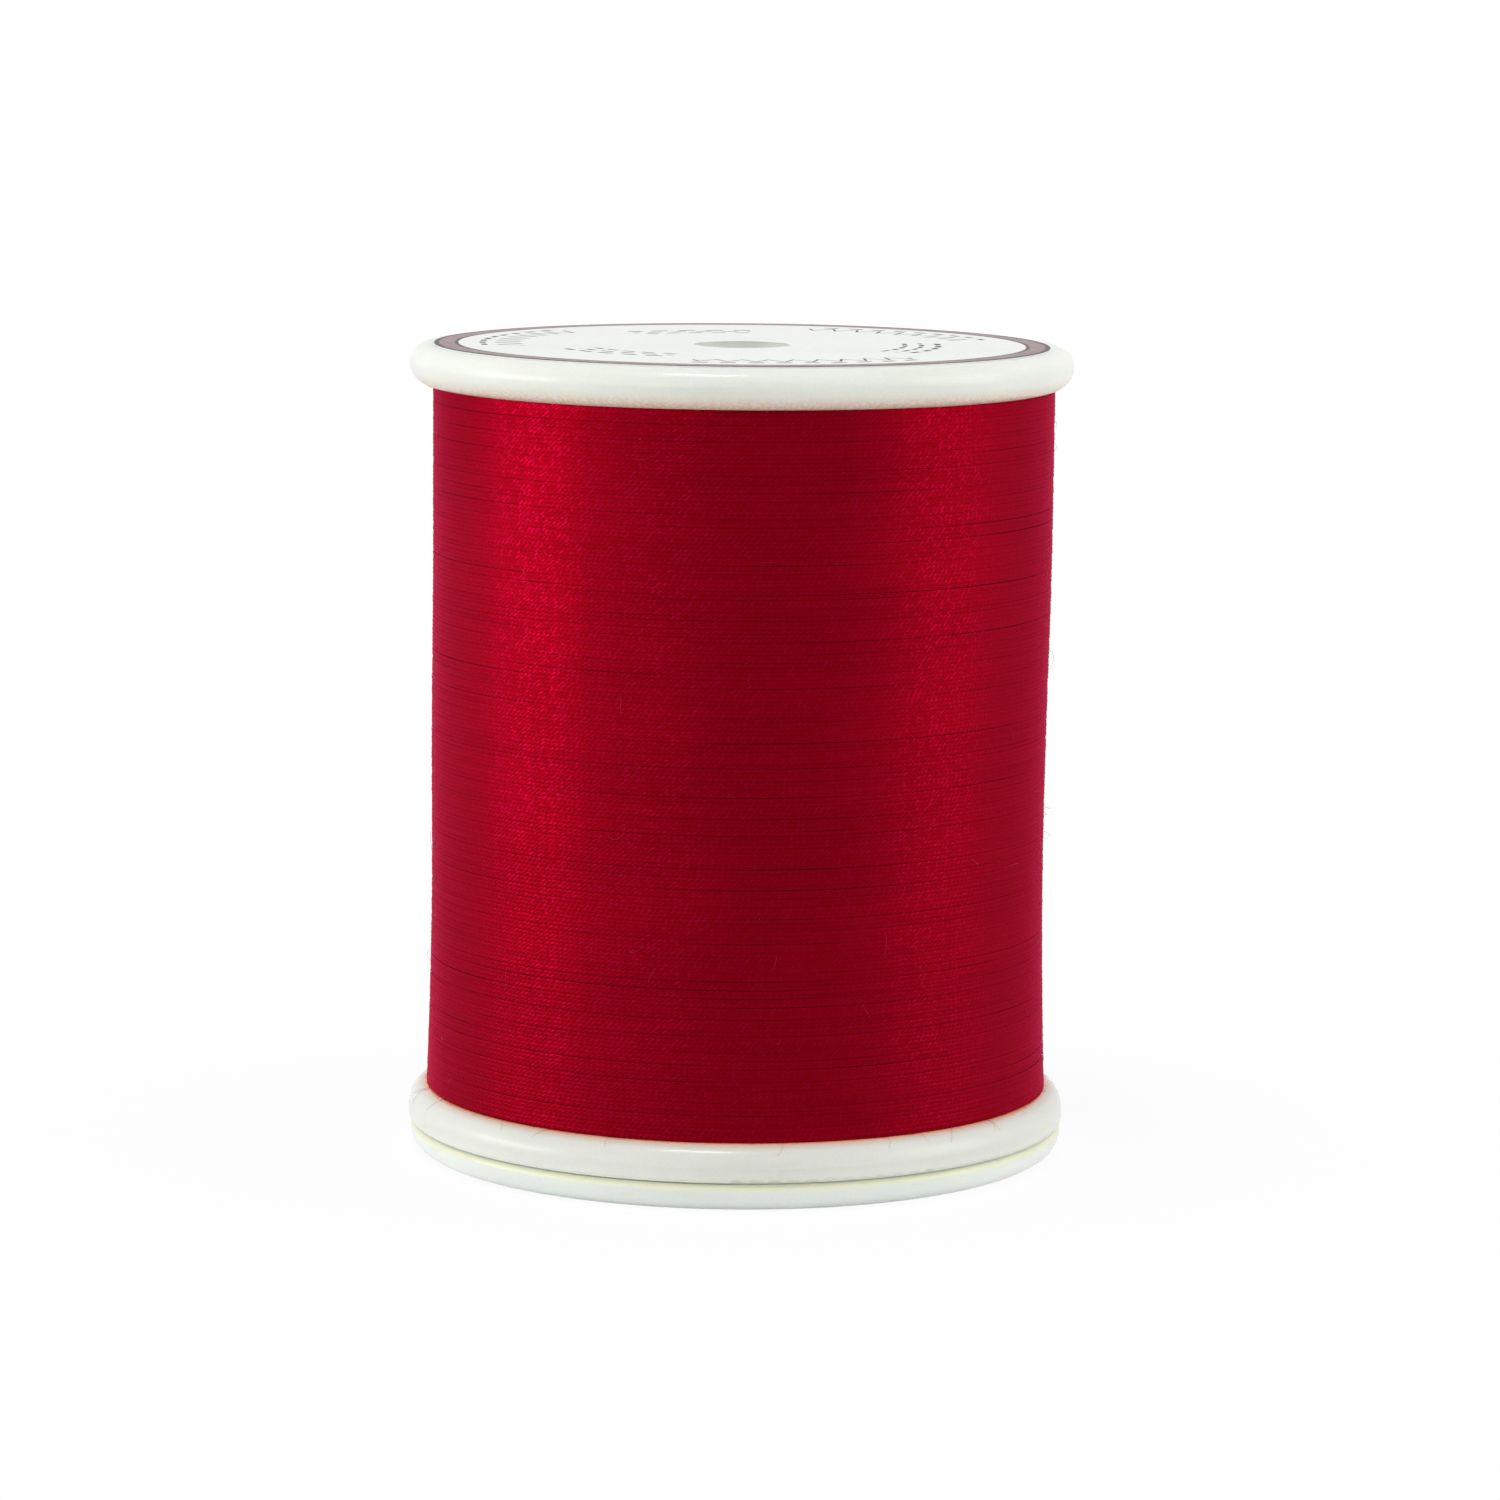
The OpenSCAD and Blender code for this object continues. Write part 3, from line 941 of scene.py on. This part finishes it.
class SPOOL_OT_under_layer(bpy.types.Operator):
    """Wind the layer beneath, which crosses the other way and shows in the gaps"""

    bl_idname = "spool.under_layer"
    bl_label = "Layer Beneath"

    def execute(self, context):
        values = settings().winding
        random = np.random.default_rng(UNDER_SEED)
        thread, section, travel, centre_z, _ = wound_thread(
            "layer_beneath", 4, UNDER_STEPS, values.pitch * 1.02, 0.49, right_handed=False)
        crest_r = surface_radius(centre_z) - UNDER_DEPTH \
            + smooth_noise(random, len(travel), 3.0, 0.006 * MM)
        settle(thread, section, UNDER_START - 2 * math.pi * travel, centre_z, crest_r)
        twist_uv(thread.data, section, UNDER_STEPS, travel * float(values.crests))
        smooth_shade(thread)
        # The layer beneath is painted at 0.8 of the thread's colour, as shade
        finish_piece(thread, sewing_thread("inner_thread", 0.8),
                     ["thread_inner_layers"])
        return {"FINISHED"}


class SPOOL_OT_fibres(bpy.types.Operator):
    """Scatter the loose fibres that stand off the thread and hang over both flanges"""

    bl_idname = "spool.fibres"
    bl_label = "Loose Fibres"

    def execute(self, context):
        values = settings().fibres
        random = np.random.default_rng(FIBRE_SEED)
        curve = bpy.data.curves.new("loose_fibres", "CURVE")
        curve.dimensions = "3D"
        curve.bevel_depth = values.thickness / 2
        curve.bevel_resolution = 0
        curve.use_fill_caps = True

        for _ in range(values.count):
            self.stand_off(curve, random)
        for _ in range(values.flange_count):
            self.hang(curve, random.uniform(0, 2 * math.pi), random.uniform(0.5, 1.9) * MM,
                      random.normal(0, 0.8), random.normal(0, 0.9), 0.05 * MM, False)
        for i in range(2 * values.fuzz_count):
            self.hang(curve, random.uniform(0, 2 * math.pi),
                      (0.10 + 0.32 * random.random() ** 2.5) * MM,
                      random.normal(0, 1.0), random.normal(0, 1.2), 0.02 * MM,
                      i < values.fuzz_count, knots=4)

        fibres = bpy.data.objects.new("loose_fibres", curve)
        context.collection.objects.link(fibres)
        activate(fibres)
        bpy.ops.object.convert(target="MESH")
        fibres = context.object
        fibres.data.name = "loose_fibres"
        smooth_shade(fibres)
        finish_piece(fibres, loose_fibre())
        return {"FINISHED"}

    @staticmethod
    def add_fibre(curve, places):
        """A fibre through these places, which thins towards its tip."""
        spline = curve.splines.new("POLY")
        spline.points.add(len(places) - 1)
        for i, (point, place) in enumerate(zip(spline.points, places)):
            point.co = (*place, 1.0)
            point.radius = 1.0 - 0.45 * (i / (len(places) - 1)) ** 2

    def stand_off(self, curve, random, knots=8):
        """A curled fibre that stands a little off the winding, unless it leaves it."""
        angle = random.uniform(0, 2 * math.pi)
        z = random.uniform(WINDING_LOW + 0.4 * MM, WINDING_HIGH - 0.6 * MM)
        length = random.uniform(0.5, 2.2) * MM
        heading = random.normal(0, 0.9) + (math.pi if random.random() < 0.5 else 0)
        lift = random.uniform(0.03, 0.30) * MM if random.random() < 0.8 \
            else random.uniform(0.3, 0.6) * MM
        curl = random.normal(0, 1.3)
        places = []
        along = up = 0.0
        for i in range(knots):
            t = i / (knots - 1)
            rise = -0.03 * MM + lift * math.sin(math.pi * min(t * 1.05, 1.0) ** 0.8)
            radius = float(surface_radius(z + up) + lopsided(angle, z + up)) + rise
            places.append(on_round(radius, angle + along / radius, z + up))
            turn = heading + curl * t
            along += length / (knots - 1) * math.cos(turn)
            up += length / (knots - 1) * math.sin(turn)
        heights = [place[2] for place in places]
        if min(heights) > WINDING_LOW + 0.1 * MM and max(heights) < WINDING_HIGH - 0.2 * MM:
            self.add_fibre(curve, places)

    def hang(self, curve, angle, length, lean, curl, loft, upper, knots=8):
        """A fibre that leaves the winding and lies over a flange's rounded rim."""
        rest = settings().fibres.thickness * 0.8
        places = []
        run = side = 0.0
        for i in range(knots):
            t = i / (knots - 1)
            radius, z, out, up = over_rim(run)
            clear = rest + loft * math.sin(math.pi * t)
            a = angle + side / radius
            z += clear * up
            if upper:
                z = WINDING_LOW + WINDING_HIGH - z
            places.append(on_round(radius + clear * out, a, z))
            turn = lean + curl * t
            run += length / (knots - 1) * math.cos(turn)
            side += length / (knots - 1) * math.sin(turn)
        self.add_fibre(curve, places)


def on_round(radius, angle, z):
    """The point at this radius, angle and height."""
    return radius * math.cos(angle), radius * math.sin(angle), z


def over_rim(run):
    """A point of the lower flange's rounded rim, at distance run from the winding.

    Returns its radius and height, and the way out from there as (radial, up).
    """
    angle = RIM_START + max(run, 0.0) / RIM_EDGE_R
    turned = min(angle, math.pi / 2)
    out, up = math.sin(turned), math.cos(turned)
    radius = BODY_R - RIM_EDGE_R + RIM_EDGE_R * out
    height = WINDING_LOW - RIM_EDGE_R + RIM_EDGE_R * up - (angle - turned) * RIM_EDGE_R
    return radius, height, out, up


class SPOOL_OT_stage(bpy.types.Operator):
    """Set up the pale floor, the white world, the soft lamps and the camera"""

    bl_idname = "spool.stage"
    bl_label = "Stage"

    def execute(self, context):
        values = settings().stage
        scene = context.scene

        deselect_all()
        bpy.ops.mesh.primitive_plane_add(size=values.floor_size, location=(0, 0, -FLOOR_DROP))
        floor = context.object
        floor.name = floor.data.name = "floor"
        floor.data.materials.append(floor_material())
        # The floor stays under the base when that is pulled out
        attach(floor, "base")

        world = bpy.data.worlds.new("white_surround")
        scene.world = world
        world.use_nodes = True
        tree = world.node_tree
        feed(tree, tree.nodes["Background"], {
            "Color": (1.0, 1.0, 1.0, 1.0),
            "Strength": ramp(tree, seen_directly(tree), 0.0, 1.0, values.ambient, 1.0, False)})

        for name, azimuth, elevation, width, height in LAMPS:
            self.add_lamp(name, getattr(values, name), azimuth, elevation, width, height)

        view = bpy.data.cameras.new("camera")
        camera = bpy.data.objects.new("camera", view)
        scene.collection.objects.link(camera)
        view.sensor_width = 36.0
        view.lens = CAMERA_LENS
        view.clip_start = 0.01
        view.clip_end = 20.0
        camera.matrix_world = (
            Matrix.Translation(CAMERA_PLACE)
            @ Matrix.Rotation(-math.radians(CAMERA_YAW), 4, "Z")
            @ Matrix.Rotation(math.pi / 2 - math.radians(CAMERA_PITCH), 4, "X")
            @ Matrix.Rotation(math.radians(CAMERA_ROLL), 4, "Z"))
        scene.camera = camera
        scene.view_settings.view_transform = "Standard"
        return {"FINISHED"}

    @staticmethod
    def add_lamp(name, power, azimuth, elevation, width, height):
        """A rectangular soft lamp that faces the spool, azimuth measured from the camera."""
        light = bpy.data.lights.new(name, "AREA")
        light.shape = "RECTANGLE"
        light.size, light.size_y = width, height
        light.energy = power
        lamp = bpy.data.objects.new(name, light)
        bpy.context.scene.collection.objects.link(lamp)
        side, up = math.radians(azimuth), math.radians(elevation)
        centre = Vector((0, 0, CAD_BOX[1].z / 2))
        place = centre + LAMP_DISTANCE * Vector((
            math.sin(side) * math.cos(up), -math.cos(side) * math.cos(up), math.sin(up)))
        lamp.location = place
        lamp.rotation_euler = (place - centre).to_track_quat("Z", "Y").to_euler()
        lamp.visible_camera = False


def seen_directly(tree):
    """1 for rays from the camera, mirrors and glass, 0 for light that falls on things."""
    path = add(tree, "ShaderNodeLightPath")
    return math_node(tree, "MAXIMUM", path.outputs["Is Camera Ray"], math_node(
        tree, "MAXIMUM", path.outputs["Is Glossy Ray"], path.outputs["Is Transmission Ray"]))


def floor_material():
    """Matte white floor that fades into the white surround away from the spool."""
    material, tree, shader = new_material("pale_floor")
    place = object_place(tree)
    feed(tree, shader, {
        "Base Color": mix_color(tree, noise(tree, place, 900.0, 3.0),
                                (0.90, 0.90, 0.90, 1.0), (0.86, 0.86, 0.86, 1.0)),
        "Roughness": 0.9, "Specular IOR Level": 0.0})
    glow = add(tree, "ShaderNodeEmission", {"Color": (1.0, 1.0, 1.0, 1.0), "Strength": 1.0})
    away = add(tree, "ShaderNodeVectorMath", {0: place}, operation="LENGTH").outputs["Value"]
    white = ramp(tree, away, 0.02, 0.09, 0.93, 1.0)
    blend = add(tree, "ShaderNodeMixShader", {
        0: times(tree, seen_directly(tree), white),
        1: shader.outputs[0], 2: glow.outputs[0]})
    feed(tree, tree.nodes["Material Output"], {"Surface": blend.outputs[0]})
    return material


class SPOOL_PT_panel(bpy.types.Panel):
    """Buttons for each piece of the spool"""

    bl_idname = "SPOOL_PT_panel"
    bl_label = "Spool of Thread"
    bl_space_type = "VIEW_3D"
    bl_region_type = "UI"
    bl_category = "Spool"

    def draw(self, context):
        spool = context.scene.spool
        for operator, group in (("spool.mouldings", spool.moulding), ("spool.label", spool.label),
                                ("spool.winding", spool.winding), ("spool.under_layer", None),
                                ("spool.fibres", spool.fibres), ("spool.stage", spool.stage)):
            box = self.layout.box()
            box.operator(operator)
            if group:
                for name in group.__annotations__:
                    box.prop(group, name)


class SpoolSettings(bpy.types.PropertyGroup):
    """Every size and colour of the spool."""

    moulding: bpy.props.PointerProperty(type=MouldingSettings, name="Mouldings")
    label: bpy.props.PointerProperty(type=LabelSettings, name="Label")
    winding: bpy.props.PointerProperty(type=WindingSettings, name="Winding")
    fibres: bpy.props.PointerProperty(type=FibreSettings, name="Fibres")
    stage: bpy.props.PointerProperty(type=StageSettings, name="Stage")


CLASSES = (
    MouldingSettings, LabelSettings, WindingSettings, FibreSettings, StageSettings,
    SpoolSettings,
    SPOOL_OT_mouldings, SPOOL_OT_label, SPOOL_OT_winding, SPOOL_OT_under_layer,
    SPOOL_OT_fibres, SPOOL_OT_stage, SPOOL_PT_panel,
)


def register():
    """Registers the classes and adds the settings to the scene."""
    for cls in CLASSES:
        bpy.utils.register_class(cls)
    bpy.types.Scene.spool = bpy.props.PointerProperty(type=SpoolSettings)


def unregister():
    """Removes the settings and the classes."""
    del bpy.types.Scene.spool
    for cls in reversed(CLASSES):
        bpy.utils.unregister_class(cls)


def main():
    """Finishes every piece in order."""
    register()
    bpy.ops.spool.mouldings()
    bpy.ops.spool.label()
    bpy.ops.spool.winding()
    bpy.ops.spool.under_layer()
    bpy.ops.spool.fibres()
    bpy.ops.spool.stage()


if __name__ == "__main__":
    main()
